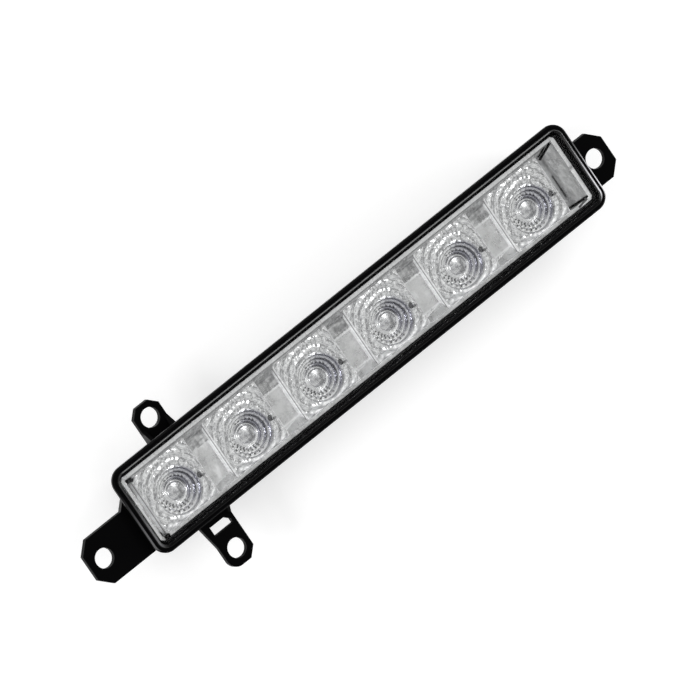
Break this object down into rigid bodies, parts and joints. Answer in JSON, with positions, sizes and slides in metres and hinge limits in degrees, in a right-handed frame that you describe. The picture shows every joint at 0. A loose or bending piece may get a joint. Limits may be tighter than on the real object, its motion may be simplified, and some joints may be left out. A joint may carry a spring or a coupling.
{
  "type": "daytime running light",
  "caption": "Slim car daytime running light: a clear cover over a row of LED optics in a bright tray, in a raked black housing with fixing lugs.",
  "frame": {"origin": "on the plane of the housing's flat back, under the middle of the front rim", "axes": "+Z out of the clear cover, +X along the row of optics towards the ramped end of the tray, +Y towards the short side lug"},
  "size_m": [0.2248, 0.0619, 0.037],
  "materials": {
    "black_plastic": "moulded black plastic, satin with a glossy rim",
    "clear_cover": "clear polished plastic",
    "clear_optic": "clear moulded optic with dimpled rings",
    "bright_tray": "vacuum-metallised plastic",
    "seal": "cured sealant",
    "board": "white solder mask on aluminium",
    "led": "ceramic base under a phosphor square",
    "pad": "soft filled silicone",
    "heat_sink": "extruded, bare",
    "screw": "zinc plated",
    "socket": "moulded black nylon",
    "blade": "tin plated",
    "chip": "moulded epoxy",
    "inductor": "pressed ferrite",
    "capacitor": "fired ceramic",
    "breather": "moulded, satin"
  },
  "bodies": {
    "root": {"housing": "black_plastic", "outer_lens": "clear_cover", "lens_seal": "seal", "reflector": "bright_tray", "led_board": "board", "thermal_pad": "pad", "heat_sink": "heat_sink", "reflector_screws": "screw", "housing_screws": "screw", "connector_socket": "socket", "connector_terminals": "blade", "driver_chip": "chip", "diode": "chip", "inductor": "inductor", "capacitors": "capacitor", "vent_cap": "breather", "optic_1": "clear_optic", "led_1": "led", "optic_2": "clear_optic", "led_2": "led", "optic_3": "clear_optic", "led_3": "led", "optic_4": "clear_optic", "led_4": "led", "optic_5": "clear_optic", "led_5": "led", "optic_6": "clear_optic", "led_6": "led"}
  },
  "joints": []
}
